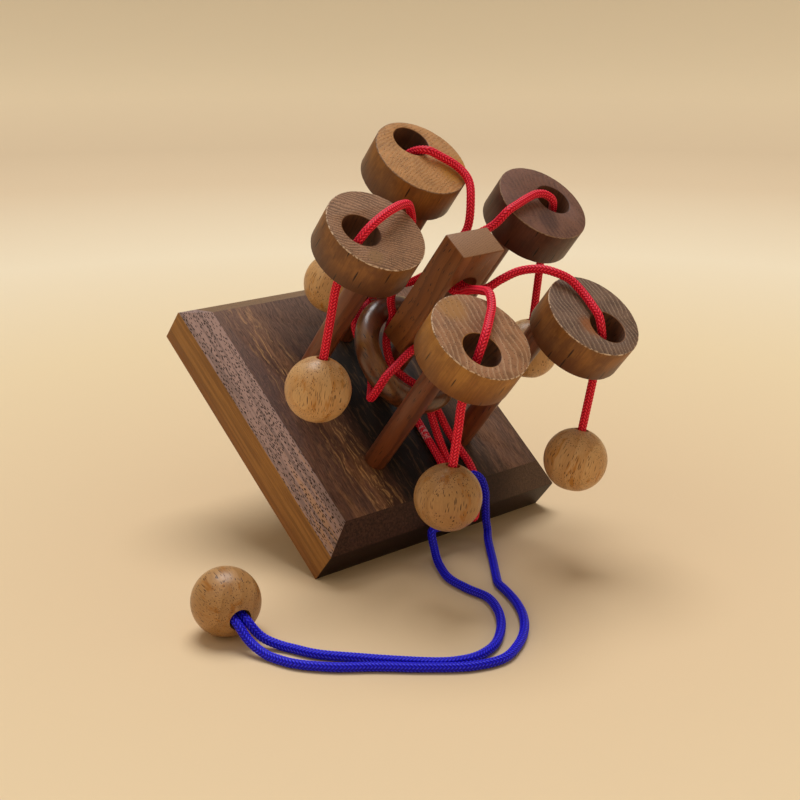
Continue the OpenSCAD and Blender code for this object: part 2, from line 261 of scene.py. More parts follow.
def figured_hardwood(name):
    """Oiled figured hardwood: black heart, golden streaks, and a pale porous edge on the left.

    It reads as a satin dark plank with broad wandering colour bands.
    """
    material, tree, shader = new_material(name, 0.55, specular=0.2)
    wood = in_mm(tree, ALONG_BOARD)
    flat = in_mm(tree, SQUARE_TO_BOARD)
    x, y, z = add(tree, "SeparateXYZ", {"Vector": flat}).outputs
    # The bands wander, and fan out towards the front
    push = x
    for lines, reach in (
        (grain_lines(tree, wood, 16, 60, 3, 4.2), 34.0), (grain_lines(tree, wood, 2.6, 13, 4, 9.1), 22.0),
    ):
        off = add(tree, "Math", (lines, 0.5), operation="SUBTRACT")
        push = add(tree, "Math", (off, reach, push), operation="MULTIPLY_ADD")
    fan = add(tree, "MapRange", (y, 75, 0))
    push = add(tree, "Math", (fan, 4.0, push), operation="MULTIPLY_ADD")
    bands = colours_along(tree, push, -BAND_REACH, BAND_REACH, BANDS)
    # Golden streaks lie mostly in one lane that slants between the pale edge and the black heart
    feather = swayed(tree, wood, wood, (0.11, 0.11, 0.07), 6.0, 3.0)
    golden = add(tree, "MapRange", (grain_lines(tree, feather, 1.2, 26, 4, 2.0), 0.52, 0.64))
    lane = add(tree, "Math", (y, LANE_SLANT, x), operation="MULTIPLY_ADD")
    lane = add(tree, "Math", (lane, LANE_AT), operation="ADD")
    lane = add(tree, "Math", (lane,), operation="ABSOLUTE")
    lane = add(tree, "MapRange", (lane, LANE_W, 3, 0.12, 1))
    golden = add(tree, "Math", (golden, lane), operation="MULTIPLY")
    colour = add(tree, "Mix", (golden, bands, "#b08558"))
    # The black heart fades to brown at the back
    colour = add(tree, "Mix", (add(tree, "MapRange", (y, 78, 116, 0, 0.6)), colour, "#80604f"))
    # The cut ends show close reddish-brown end grain, up to the mitre of the left and front slopes
    mitre = add(tree, "Math", (x, y), operation="SUBTRACT")
    near = add(tree, "Math", (
        add(tree, "MapRange", (y, SLOPE_W + SHARP, SLOPE_W - SHARP)),
        add(tree, "MapRange", (mitre, LEFT - SHARP, LEFT + SHARP)),
    ), operation="MULTIPLY")
    far = add(tree, "MapRange", (y, BOARD_W - SLOPE_W - SHARP, BOARD_W - SLOPE_W + SHARP))
    cut_end = add(tree, "Math", (near, far), operation="MAXIMUM")
    speckled = add(tree, "TexNoise", {"Vector": flat, "Scale": 0.9, "Detail": 4.0})
    brown = add(tree, "Mix", (add(tree, "MapRange", (speckled, 0.35, 0.65)), "#4c3128", "#38241e"))
    # The last tint darkens the upright front wall below the slope: painted shade, as that wall faces down
    for place, tint in (
        ((x, -30, 0, 0, 0.6), "#2a1e1b"), ((x, 25, 50), "#5a463b"),
        ((z, BOARD_SIDE + 0.2, BOARD_SIDE - 0.2, 0, 0.7), "#241714"),
    ):
        brown = add(tree, "Mix", (add(tree, "MapRange", place), brown, tint))
    brown = add(tree, "Mix", (far, brown, "#7d6147"))
    colour = add(tree, "Mix", (cut_end, colour, brown))
    lines = grain_lines(tree, feather, 0.45, 9, 4, 6.0)
    streaks = add(tree, "MapRange", (lines, 0.3, 0.72, 0.6, 1.36))
    colour = add(tree, "Mix", (1.0, colour, streaks), blend_type="MULTIPLY")
    # The slope on the left cuts the pores at a low angle, so they show as short dashes
    slope = add(tree, "Math", (
        add(tree, "MapRange", (x, LEFT + SLOPE_W + SHARP, LEFT + SLOPE_W - SHARP)),
        add(tree, "MapRange", (mitre, LEFT + SHARP, LEFT - SHARP)),
    ), operation="MULTIPLY")
    broad = add(tree, "MapRange", (grain_lines(tree, wood, 1.6, 45, 3, 1.0), 0.4, 0.62))
    pale = add(tree, "Mix", (broad, "#a78a82", "#87706a"))
    tan = add(tree, "MapRange", (grain_lines(tree, wood, 1.3, 60, 2, 12.0), 0.58, 0.66))
    tan = add(tree, "Math", (tan, add(tree, "MapRange", (y, 70, 30, 0.1, 0.8))), operation="MULTIPLY")
    pale = add(tree, "Mix", (tan, pale, "#b58c6c"))
    dashes = pores_in(tree, wood, 0.19, 0.75, 0.75, 1.0, 0.44)
    pale = add(tree, "Mix", (dashes, pale, "#33231f"))
    colour = add(tree, "Mix", (slope, colour, pale))
    # The upright side on the left is golden sapwood, with darker streaks; painted shade makes it darker and
    # redder towards its foot
    side = add(tree, "MapRange", (x, LEFT + BOARD_EASE, LEFT + SHARP))
    broad = add(tree, "MapRange", (grain_lines(tree, wood, 2.2, 70, 3, 3.0), 0.42, 0.62))
    honey = add(tree, "Mix", (broad, "#9d6f3b", "#835a30"))
    honey = add(tree, "Mix", (add(tree, "MapRange", (z, 7, 0, 0, 0.6)), honey, "#7a4a26"))
    streaks = add(tree, "MapRange", (lines, 0.3, 0.72, 0.9, 1.1))
    honey = add(tree, "Mix", (1.0, honey, streaks), blend_type="MULTIPLY")
    colour = add(tree, "Mix", (side, colour, honey))
    specks = pores_in(tree, wood, 0.22, 2.4, 0.35, 5.0)
    faint = add(tree, "Math", (specks, 0.6), operation="MULTIPLY")
    colour = add(tree, "Mix", (faint, colour, "#1c1210"))
    dents = add(tree, "Math", (dashes, slope), operation="MULTIPLY")
    dents = add(tree, "Math", (dents, faint), operation="ADD")
    height = add(tree, "Math", (lines, dents), operation="SUBTRACT")
    bump = add(tree, "Bump", {"Height": height, "Strength": 0.35, "Distance": 0.2 * MM})
    satin = add(tree, "MapRange", (lines, 0.3, 0.7, 0.5, 0.64))
    feed(tree, shader, {"Base Color": colour, "Normal": bump, "Roughness": satin})
    return material


board = fresh("cube", "figured_board", size=1, scale=metres(BOARD_W, BOARD_W, BOARD_SIDE),
              location=metres(0, BOARD_W / 2, BOARD_SIDE / 2))
bpy.ops.object.transform_apply()
pick(board, lambda centre, normal: normal.z > 0.9)
bpy.ops.mesh.extrude_region_move(TRANSFORM_OT_translate={"value": metres(0, 0, BOARD_H - BOARD_SIDE)})
narrower = (BOARD_W - 2 * SLOPE_W) / BOARD_W
bpy.ops.transform.resize(value=(narrower, narrower, 1), center_override=metres(0, BOARD_W / 2, BOARD_H))
bpy.ops.object.mode_set(mode="OBJECT")
for foot in list(POST_AT.values()) + [STEM_AT]:
    cut(board, fresh(
        "cylinder", "socket_cutter", vertices=64, radius=(POST_D / 2 + GLUE_GAP) * MM,
        depth=(SOCKET_DEEP + 1) * MM, location=metres(*foot, BOARD_H - SOCKET_DEEP / 2 + 0.5),
    ))
ease_edges(board, BOARD_EASE)
lean_into_place(board)
board.data.materials.append(figured_hardwood("oiled_figured_hardwood"))
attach(board, "root")
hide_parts("base_board")

# The posts and the stem
# Turned hardwood dowels with their ends eased, glued into the board below and into their disc
# or head above.
DISC_TOP = 116.7
DISC_T = 15
DISC_SOCKET = 8
HEAD_TOP = 114.5
HEAD_LEN = 57.5


def distance_from(tree, wood, centre):
    """How far a place is from a centre, measured across the grain."""
    out = add(tree, "VectorMath", (wood, (centre[0], centre[1], 0)), operation="SUBTRACT")
    out = add(tree, "VectorMath", (out, (1, 1, 0)), operation="MULTIPLY")
    return add(tree, "VectorMath", (out,), operation="LENGTH")


def rings_round(tree, wood, heart, ring):
    """Growth rings round the heart of the tree: a value from 0 to 1 across each ring."""
    turns = add(tree, "Math", (distance_from(tree, wood, heart), ring), operation="DIVIDE")
    return add(tree, "Math", (turns,), operation="FRACT")


def timber(name, palette, grain, centre=(0, 0), ring=1.6, wave=0.6, ripple=0.3, sharp=0.25, streak=0.5,
           pore=(0.25, 2.2, 0.3), odd=0.5, odd_size=30, gloss=0.45, coat=0.1, relief=0.3, seed=0.0):
    """Solid wood, planed or turned and then oiled or varnished.

    palette is early wood, late wood, pores and an odd tint. grain turns the piece's grain to Z,
    centre is the middle of the tree across the grain, ring the width of a growth ring, and pore
    the width, length and share of the open pores, all in millimetres.
    """
    early, late, dark, tint = palette
    material, tree, shader = new_material(name, gloss, coat, 0.4)
    wood = in_mm(tree, grain)
    bent = swayed(tree, wood, wood, (0.05, 0.05, 0.012), 22.0 * wave, 2.0, (seed, seed, 0))
    bent = swayed(tree, bent, wood, (0.3, 0.3, 0.06), 4.0 * ripple, 2.0, (seed, 1, 0))
    late_band = add(tree, "MapRange", (rings_round(tree, bent, centre, ring), sharp, 1.0))
    fibre = grain_lines(tree, bent, 0.4, 12, 4, seed)
    pores = pores_in(tree, bent, *pore, seed)
    cloud = grain_lines(tree, bent, odd_size / 2, odd_size * 2, 3, seed * 2)
    patch = add(tree, "MapRange", (cloud, 0.68 - 0.3 * odd, 0.84 - 0.3 * odd))
    colour = add(tree, "Mix", (late_band, early, late))
    colour = add(tree, "Mix", (patch, colour, tint))
    lines = add(tree, "MapRange", (fibre, 0.3, 0.72, 1.0 - 0.5 * streak, 1.0 + 0.35 * streak))
    colour = add(tree, "Mix", (1.0, colour, lines), blend_type="MULTIPLY")
    colour = add(tree, "Mix", (pores, colour, dark))
    # The pores are open and the late wood stands a little proud
    height = add(tree, "Math", (fibre, pores), operation="SUBTRACT")
    height = add(tree, "Math", (late_band, 0.6, height), operation="MULTIPLY_ADD")
    bump = add(tree, "Bump", {"Height": height, "Strength": relief, "Distance": 0.2 * MM})
    satin = add(tree, "MapRange", (fibre, 0.3, 0.7, gloss - 0.06, gloss + 0.08))
    feed(tree, shader, {"Base Color": colour, "Normal": bump, "Roughness": satin})
    return material


# Turned and oiled red-brown hardwood: close straight grain with a low even shine
dowel_wood = timber(
    "oiled_red_dowel", ("#733e23", "#5c301c", "#2f1a0d", "#80502e"), SQUARE_TO_BOARD, centre=(20, 60),
    ring=3.0, wave=0.5, streak=0.35, pore=(0.2, 2.5, 0.2), odd=0.35, gloss=0.4, coat=0.15, relief=0.15,
    seed=1.7,
)


def dowel(name, node, foot, top):
    """A dowel from its socket in the board up to top."""
    low = BOARD_H - SOCKET_DEEP
    rod = fresh(
        "cylinder", name, vertices=72, radius=POST_D / 2 * MM, depth=(top - low) * MM,
        location=metres(*foot, (top + low) / 2),
    )
    ease_edges(rod, 0.4)
    lean_into_place(rod)
    rod.data.materials.append(dowel_wood)
    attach(rod, "root")
    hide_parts(node)


for place, foot in POST_AT.items():
    dowel("turned_post_" + place, "post_" + place, foot, DISC_TOP - DISC_T + DISC_SOCKET)
dowel("turned_stem", "middle_post_stem", STEM_AT, HEAD_TOP - HEAD_LEN + SOCKET_DEEP)

# The discs
# Thick slices sawn across a turned rod, so their faces show end grain and their walls long
# grain. Each is bored for its cord near one side and glued on its post.
DISC_D = 40
HOLE_D = 15.4
DISC_AT = {
    "back": (2, 107.3), "left": (-44.2, 74.8), "right": (46.9, 76),
    "front_right": (28.1, 18.2), "front_left": (-31.5, 20.3),
}
HOLE_AT = {
    "back": (2.7, 116.3), "left": (-50.7, 75.8), "right": (53.6, 76.8),
    "front_right": (30.4, 11.7), "front_left": (-35.5, 14.7),
}
# End grain: ground, pale lines, specks and a patch; the heart of the tree, the width of a ring, how
# much of it is pale, and where the patch lies on the board and how far it reaches
END_GRAIN = {
    "back": (("#b48253", "#bd8f5e", "#4a2f1b", "#b9822f"), (60, -60), 1.5, 0.5, (16, 98), 12),
    "left": (("#7c5a42", "#b08868", "#33201a", "#8f6c45"), (-150, -95), 1.3, 0.5, (-52, 62), 5),
    "right": (("#704d40", "#7c5746", "#2a1912", "#46302a"), (160, 60), 2.4, 0.5, (42, 66), 8),
    "front_right": (("#6b5243", "#a1876f", "#2c1c15", "#93582c"), (-170, 40), 2.0, 0.8, (22, 14), 6),
    "front_left": (("#93694a", "#b99472", "#4a2d1c", "#a3743c"), (-130, 40), 2.5, 0.8, (-36, 33), 8),
}
# Long grain of the walls: lighter, darker, dashes and the redder foot, which is painted shade towards the
# bottom of the wall
LONG_GRAIN = {
    "back": ("#8a5926", "#74481f", "#2c1808", "#4f2812"),
    "left": ("#87582c", "#6c4322", "#24140a", "#4b2610"),
    "right": ("#5b3527", "#4a2a1f", "#1d0f0a", "#4c261c"),
    "front_right": ("#8b5b2b", "#714621", "#2c1808", "#562e14"),
    "front_left": ("#a57233", "#8d5d29", "#3c230d", "#6b3c15"),
}
# How deep the saw tears the rims, and how far in from the wall its faces count as rim
RIM_RAGGED = 0.16
RIM_W = 0.6


def sawn_end_grain(name, place, seed):
    """The sawn face of a disc: pale wavy growth lines, open pores seen end on, and saw roughness."""
    (ground, pale, dark, tint), heart, ring, share, spot, reach = END_GRAIN[place]
    material, tree, shader = new_material(name, 0.62, specular=0.25)
    flat = in_mm(tree, SQUARE_TO_BOARD)
    bent = flat
    for scale, sway in ((0.05, 9.0), (0.35, 0.9), (1.6, 0.3)):
        bent = swayed(tree, bent, flat, (scale, scale, scale), sway, 1.0, (seed, 0, 0))
    saw = rings_round(tree, bent, heart, ring)
    line = add(tree, "Math", (
        add(tree, "MapRange", (saw, share - 0.3, share + 0.12)), add(tree, "MapRange", (saw, 1.0, 0.93)),
    ), operation="MULTIPLY")
    # The lines come and go, and break up into rows of dots
    speckle = add(tree, "TexNoise", {"Vector": flat, "Scale": 2.2, "Detail": 2.0})
    dots = add(tree, "MapRange", (speckle, 0.3, 0.62, 0.25, 1))
    line = add(tree, "Math", (line, dots), operation="MULTIPLY")
    patch = add(tree, "MapRange", (distance_from(tree, bent, spot), reach, reach * 0.45, 0, 0.75))
    cloud = add(tree, "TexNoise", {"Vector": flat, "Scale": 0.16, "Detail": 2.0})
    cloud = add(tree, "MapRange", (cloud, 0.3, 0.7, 0.8, 1.2))
    colour = add(tree, "Mix", (1.0, ground, cloud), blend_type="MULTIPLY")
    colour = add(tree, "Mix", (patch, colour, tint))
    faded = add(tree, "Math", (patch, -0.8, 0.85), operation="MULTIPLY_ADD")
    line = add(tree, "Math", (line, faded), operation="MULTIPLY")
    colour = add(tree, "Mix", (line, colour, pale))
    pores = pores_in(tree, flat, 0.34, 30, 0.4, seed)
    faint = add(tree, "Math", (pores, 0.7), operation="MULTIPLY")
    colour = add(tree, "Mix", (faint, colour, dark))
    height = add(tree, "Math", (line, pores), operation="SUBTRACT")
    height = add(tree, "Math", (speckle, 1.2, height), operation="MULTIPLY_ADD")
    bump = add(tree, "Bump", {"Height": height, "Strength": 0.5, "Distance": 0.3 * MM})
    feed(tree, shader, {"Base Color": colour, "Normal": bump})
    return material


def turned_wall(name, place, seed):
    """The smooth oiled wall of a disc: faint mottled lines up the grain, a few long dark pores and painted
    shade at its foot.
    """
    light, shade, dark, foot = LONG_GRAIN[place]
    material, tree, shader = new_material(name, 0.45, coat=0.05, specular=0.35)
    wood = in_mm(tree, SQUARE_TO_BOARD)
    mottle = add(tree, "MapRange", (grain_lines(tree, wood, 5, 9, 3, seed), 0.36, 0.64))
    streak = add(tree, "MapRange", (grain_lines(tree, wood, 0.9, 40, 2, seed + 3), 0.54, 0.66, 0, 0.7))
    fibre = grain_lines(tree, wood, 0.35, 9, 3, seed + 5)
    colour = add(tree, "Mix", (mottle, light, shade))
    colour = add(tree, "Mix", (streak, colour, shade))
    z = add(tree, "SeparateXYZ", {"Vector": wood}).outputs[2]
    # The wall takes its foot colour towards the bottom: painted shade
    low = add(tree, "MapRange", (z, DISC_TOP - 4, DISC_TOP - DISC_T, 0, 0.85))
    colour = add(tree, "Mix", (low, colour, foot))
    lines = add(tree, "MapRange", (fibre, 0.3, 0.7, 0.86, 1.12))
    colour = add(tree, "Mix", (1.0, colour, lines), blend_type="MULTIPLY")
    dashes = pores_in(tree, wood, 0.45, 4.2, 0.16, seed)
    colour = add(tree, "Mix", (dashes, colour, dark))
    height = add(tree, "Math", (fibre, dashes), operation="SUBTRACT")
    bump = add(tree, "Bump", {"Height": height, "Strength": 0.2, "Distance": 0.2 * MM})
    feed(tree, shader, {"Base Color": colour, "Normal": bump})
    return material


def torn_rim_with_highlight(name, fibres_and_highlight):
    """The pale broken fibres along a sawn rim and a painted highlight there, seen as a thin light line
    round the face.
    """
    material, tree, shader = new_material(name, 0.6, specular=0.3)
    where = add(tree, "TexCoord").outputs["Object"]
    # The fibres break off about every millimetre
    torn = add(tree, "TexNoise", {"Vector": where, "Scale": 900.0, "Detail": 2.0})
    torn = add(tree, "MapRange", (torn, 0.4, 0.6))
    feed(tree, shader, {"Base Color": add(tree, "Mix", (torn, "#7a5a3f", fibres_and_highlight))})
    return material


# The rim colours are partly the torn fibres and partly a painted highlight along the top edge
pale_rim_and_highlight = torn_rim_with_highlight("torn_pale_rim_fibres_and_highlight", "#cdb093")
dull_rim_and_highlight = torn_rim_with_highlight("torn_dull_rim_fibres_and_highlight", "#8d6f56")
# Bare drilled wood: rough and dull, and made nearly black as painted shade inside the bore
shaded_bore_wood = timber(
    "drilled_bore_painted_shade", ("#5a381f", "#4a2c19", "#1c0f08", "#402413"), SQUARE_TO_BOARD, ring=1.5, gloss=0.7,
    coat=0.0, relief=0.5, seed=3.0,
)
# The places of a disc's materials; its wall has the first, 0
FACE, RIM, BORE = 1, 2, 3
# A face this square to the post is one of the flat faces
FLAT_ON = 0.93


def disc(place, seed):
    """A disc at its place on the board, bored for its cord and its post, with its four materials."""
    x, y = DISC_AT[place]
    under = DISC_TOP - DISC_T
    name = "sliced_disc_" + place
    piece = fresh(
        "cylinder", name, vertices=144, radius=DISC_D / 2 * MM, depth=DISC_T * MM,
        location=metres(x, y, under + DISC_T / 2),
    )
    bpy.ops.object.transform_apply()
    hole = HOLE_AT[place]
    cut(piece, fresh(
        "cylinder", "cord_hole_cutter", vertices=96, radius=HOLE_D / 2 * MM, depth=(DISC_T + 2) * MM,
        location=metres(*hole, under + DISC_T / 2),
    ))
    post = POST_AT[place]
    cut(piece, fresh(
        "cylinder", "post_socket_cutter", vertices=64, radius=(POST_D / 2 + GLUE_GAP) * MM,
        depth=(DISC_SOCKET + 1) * MM, location=metres(*post, under + (DISC_SOCKET - 1) / 2),
    ))
    ease_edges(piece, 0.35)
    # The saw leaves the rims slightly ragged
    for vertex in piece.data.vertices:
        out = Vector((vertex.co.x - x * MM, vertex.co.y - y * MM, 0))
        if out.length > (DISC_D / 2 - 0.5) * MM:
            rough = noise.noise(vertex.co * 900 + Vector((seed, 0, 0))) + 0.6 * noise.noise(vertex.co * 260)
            vertex.co -= out.normalized() * max(0.0, rough) * RIM_RAGGED * MM
    lean_into_place(piece)
    piece.data.materials.append(turned_wall("turned_wall_" + place, place, seed))
    piece.data.materials.append(sawn_end_grain("sawn_end_grain_" + place, place, seed))
    piece.data.materials.append(dull_rim_and_highlight if place in ("back", "right") else pale_rim_and_highlight)
    piece.data.materials.append(shaded_bore_wood)
    for face in piece.data.polygons:
        along = face.normal @ leaned((0, 0, 1))
        spot = LEAN_BACK.inverted() @ face.center
        at_rim = (spot.xy - Vector((x, y)) * MM).length > (DISC_D / 2 - RIM_W) * MM
        in_hole = (spot.xy - Vector(hole) * MM).length < (HOLE_D / 2 + 0.05) * MM
        if abs(along) > FLAT_ON:
            face.material_index = FACE
        elif in_hole:
            face.material_index = BORE
        # Bevel faces round the top rim take the rim colour with its painted highlight
        elif abs(along) > 0.3 and at_rim and spot.z > (under + 5) * MM:
            face.material_index = RIM
    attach(piece, "root")
    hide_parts("disc_" + place)


for index, place in enumerate(END_GRAIN):
    disc(place, 5.3 * index + 1.0)

# The middle post's head
# A rectangular block with eased edges on the stem. The three red cords pass through its cross
# hole, which is drilled from front to back.
HEAD_W = 22.6
HEAD_T = 12.6
HEAD_HOLE_D = 15.2
HEAD_HOLE_Z = 93.2
HEAD_TURN = math.radians(1.3)
head = fresh("cube", "middle_head", size=1, scale=metres(HEAD_W, HEAD_T, HEAD_LEN),
             location=metres(*STEM_AT, HEAD_TOP - HEAD_LEN / 2), rotation=(0, 0, HEAD_TURN))
bpy.ops.object.transform_apply()
cut(head, fresh(
    "cylinder", "cross_hole_cutter", vertices=96, radius=HEAD_HOLE_D / 2 * MM, depth=3 * HEAD_T * MM,
    location=metres(*STEM_AT, HEAD_HOLE_Z), rotation=(math.radians(90), 0, HEAD_TURN),
))
cut(head, fresh(
    "cylinder", "stem_socket_cutter", vertices=64, radius=(POST_D / 2 + GLUE_GAP) * MM,
    depth=(SOCKET_DEEP + 1) * MM, location=metres(*STEM_AT, HEAD_TOP - HEAD_LEN + (SOCKET_DEEP - 1) / 2),
))
ease_edges(head, 0.5, segments=3)
lean_into_place(head)
# Planed and oiled brown hardwood: calm upright grain with small short pores and a soft shine
head.data.materials.append(timber(
    "oiled_brown_head", ("#8e572e", "#794724", "#33201a", "#743a1a"), SQUARE_TO_BOARD, centre=(40, -60),
    ring=4.0, wave=0.6, streak=0.25, pore=(0.22, 1.6, 0.25), odd=0.35, gloss=0.45, coat=0.05, seed=8.9,
))
# The sanded top and foot show the same wood end on: paler, matt, with close rings and fine specks
head.data.materials.append(timber(
    "sanded_end_grain", ("#997253", "#8e6849", "#55361f", "#976d45"), SQUARE_TO_BOARD, centre=(40, -60),
    ring=0.9, wave=0.15, ripple=0.1, streak=0.25, pore=(0.16, 8.0, 0.5), odd=0.3, gloss=0.5, coat=0.0,
    seed=4.4,
))
for face in head.data.polygons:
    face.material_index = int(abs(face.normal @ leaned((0, 0, 1))) > FLAT_ON)
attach(head, "root")
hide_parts("middle_post_head")

# The loose ring
# A turned ring of round section, varnished until it shines. It lies round the middle post.
RING_AT = (-1.4, 59.9, 51.5)
RING_AXIS = Vector((0.07, -0.29, 0.96)).normalized()
RING_D = 52.4
RING_T = 10.2
ring = fresh(
    "torus", "varnished_ring", major_radius=(RING_D - RING_T) / 2 * MM, minor_radius=RING_T / 2 * MM,
    major_segments=160, minor_segments=56, location=Vector(RING_AT) * MM,
    rotation=RING_AXIS.to_track_quat("Z", "Y").to_euler(),
)
bpy.ops.object.transform_apply()
# Turned by hand, so its thickness wanders slightly
for vertex in ring.data.vertices:
    arm = vertex.co - Vector(RING_AT) * MM
    level = arm - arm.dot(RING_AXIS) * RING_AXIS
    core = level.normalized() * (RING_D - RING_T) / 2 * MM
    vertex.co = Vector(RING_AT) * MM + core + (arm - core) * (0.985 + 0.03 * noise.noise(core * 90))
bpy.ops.object.shade_smooth()
lean_into_place(ring)
# Gloss varnish over dark streaked wood: a clear coat with bright highlights and golden patches
ring.data.materials.append(timber(
    "gloss_varnished_ring_wood", ("#66391d", "#4a2814", "#1c0f09", "#875c2a"), ALONG_BOARD, centre=(15, 30),
    ring=3.2, wave=0.8, streak=0.5, pore=(0.3, 2.4, 0.35), odd=0.45, gloss=0.35, coat=0.5, relief=0.25,
    seed=6.6,
))
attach(ring, "loose_ring")
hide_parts("wooden_ring")

# The balls
# Turned balls of pale oiled wood with short dark open pores. Five hang under the discs, bored
# right through and wider from below for the knot. The sixth ends the blue loop.
BALL_D = 25.4
BORE_D = 4.6
KNOT_BORE_D = 10
# The knot, and how far below the middle of its ball it sits
KNOT_D = 8.4
KNOT_DEEP = 7.2
BALL_AT = {
    "back": (-18, 41, 105.5), "left": (-60.5, 0, 77), "right": (51.5, -4.5, 74.5),
    "front_right": (27, -53.5, 42.5), "front_left": (-40.5, -50.5, 42.5),
}
# How far below its disc each cord bends, and how far from the middle of its hole
BEND_DROP = 2.5
BEND_SHIFT = {
    "back": (-4.5, -2.5), "left": (-4, -3.5), "right": (4.8, -3), "front_right": (4.5, -3.5),
    "front_left": (0, -3),
}


def bend_of(place):
    """Where the cord bends below its disc, leaning, and the way it hangs from there."""
    flat = (
        HOLE_AT[place][0] + BEND_SHIFT[place][0], HOLE_AT[place][1] + BEND_SHIFT[place][1],
        DISC_TOP - DISC_T - BEND_DROP,
    )
    bend = leaned(flat)
    return bend, (Vector(BALL_AT[place]) - bend).normalized()


# Oiled open-pored wood, pale or darkened as painted shade: a smooth soft shine, with dark dashes all along
# the grain
PALE_BALL = ("#cba06c", "#c1925c", "#4b2c15", "#b57a34")
SHADED_BALL = ("#ae8250", "#a17645", "#42260f", "#9c6420")


def turned_ball(name, centre, way, mouth_d, knot_from, seed, palette):
    """A ball bored along way, from its mouth to the wider bore that starts at knot_from."""
    ball = fresh("uv_sphere", name, segments=96, ring_count=56, radius=BALL_D / 2 * MM)
    cut(ball, fresh("cylinder", "cord_bore_cutter", vertices=48, radius=mouth_d / 2 * MM, depth=BALL_D * MM,
                    location=metres(0, 0, -BALL_D / 2)))
    cut(ball, fresh("cylinder", "knot_bore_cutter", vertices=64, radius=KNOT_BORE_D / 2 * MM,
                    depth=BALL_D * MM, location=metres(0, 0, knot_from + BALL_D / 2)))
    ease_edges(ball, 0.7, segments=3)
    turned = way.to_track_quat("Z", "Y").to_matrix().to_4x4()
    ball.data.transform(Matrix.Translation(Vector(centre) * MM) @ turned)
    grain = tuple(way.rotation_difference(Vector((0, 0, 1))).to_euler())
    ball.data.materials.append(timber(
        "oiled_" + name, palette, grain, centre=(40 + seed, 30), ring=6.0, wave=0.7, sharp=0.1, streak=0.25,
        pore=(0.19, 2.4, 0.75), odd=0.5, odd_size=7, gloss=0.4, coat=0.15, relief=0.3, seed=seed,
    ))
    return ball


for index, (place, centre) in enumerate(BALL_AT.items()):
    bend, way = bend_of(place)
    ball = turned_ball(
        "ball_wood_" + place, centre, way, mouth_d=BORE_D + 1, knot_from=KNOT_DEEP - KNOT_D / 2 - 0.3,
        # The front left ball takes the copy darkened as painted shade
        seed=2.2 + 3.1 * index, palette=SHADED_BALL if place == "front_left" else PALE_BALL,
    )
    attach(ball, "hanging_ball_" + place)
    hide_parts("ball_" + place)

# The red cords
# Braided cord, 3.5 mm thick, whose sheath shows as rows of short slanted stitches. Each cord
# runs from a knot inside its ball up through a disc, over it and on through the middle post.
CORD_D = 3.5
STITCH = 1.3
ROWS = 8
# How far a stitch leans over its own length, and how deep the gaps between stitches are
STITCH_LEAN = 0.9
GAP_DEEP = 0.3


def through(points, step):
    """A smooth line through the points, in millimetres, with a point at every step."""
    p = [np.array(q, float) for q in points]
    p = [2 * p[0] - p[1]] + p + [2 * p[-1] - p[-2]]
    fine = []
    for a, b, c, d in zip(p, p[1:], p[2:], p[3:]):
        t1 = np.linalg.norm(b - a) ** 0.5
        t2 = t1 + np.linalg.norm(c - b) ** 0.5
        t3 = t2 + np.linalg.norm(d - c) ** 0.5
        for t in np.linspace(t1, t2, 24, endpoint=False):
            ab = (t1 - t) / t1 * a + t / t1 * b
            bc = (t2 - t) / (t2 - t1) * b + (t - t1) / (t2 - t1) * c
            cd = (t3 - t) / (t3 - t2) * c + (t - t2) / (t3 - t2) * d
            abc = (t2 - t) / t2 * ab + t / t2 * bc
            bcd = (t3 - t) / (t3 - t1) * bc + (t - t1) / (t3 - t1) * cd
            fine.append((t2 - t) / (t2 - t1) * abc + (t - t1) / (t2 - t1) * bcd)
    fine = np.array(fine + [p[-2]])
    run = np.concatenate([[0], np.cumsum(np.linalg.norm(np.diff(fine, axis=0), axis=1))])
    even = np.linspace(0, run[-1], int(run[-1] / step) + 2)
    return np.stack([np.interp(even, run, fine[:, k]) for k in range(3)], 1), even


def frames(line):
    """Two directions across the line at each point, carried along it without twist."""
    ahead = np.gradient(line, axis=0)
    ahead /= np.linalg.norm(ahead, axis=1)[:, None]
    side = np.cross(ahead[0], (0, 0, 1) if abs(ahead[0][2]) < 0.9 else (1, 0, 0))
    sides = []
    for t in ahead:
        side = side - (side @ t) * t
        side = side / np.linalg.norm(side)
        sides.append(side)
    return np.array(sides), np.cross(ahead, sides)


def lay(points, step=0.24, around=40):
    """All rings of a braided cord along its route, with the height of its stitches."""
    line, run = through(points, step)
    # A cord on the table stays on top of it
    line[:, 2] = np.maximum(line[:, 2], CORD_D / 2)
    side, up = frames(line)
    turn = np.arange(around) / around
    row = turn * ROWS
    across = row % 1
    odd = np.floor(row) % 2
    slant = np.where(odd == 0, 1.0, -1.0) * (across - 0.5) * STITCH_LEAN
    beat = run[:, None] / STITCH + slant[None] + (odd * 0.5)[None]
    crest = np.abs(np.sin(np.pi * beat)) ** 0.8 * (0.5 + 0.5 * np.abs(np.sin(np.pi * across)) ** 0.8)[None]
    radius = CORD_D / 2 - GAP_DEEP * (1 - crest)
    angle = 2 * np.pi * turn
    rings = line[:, None] + radius[..., None] * (
        np.cos(angle)[None, :, None] * side[:, None] + np.sin(angle)[None, :, None] * up[:, None]
    )
    return {"line": line, "run": run, "rings": rings, "crest": crest}


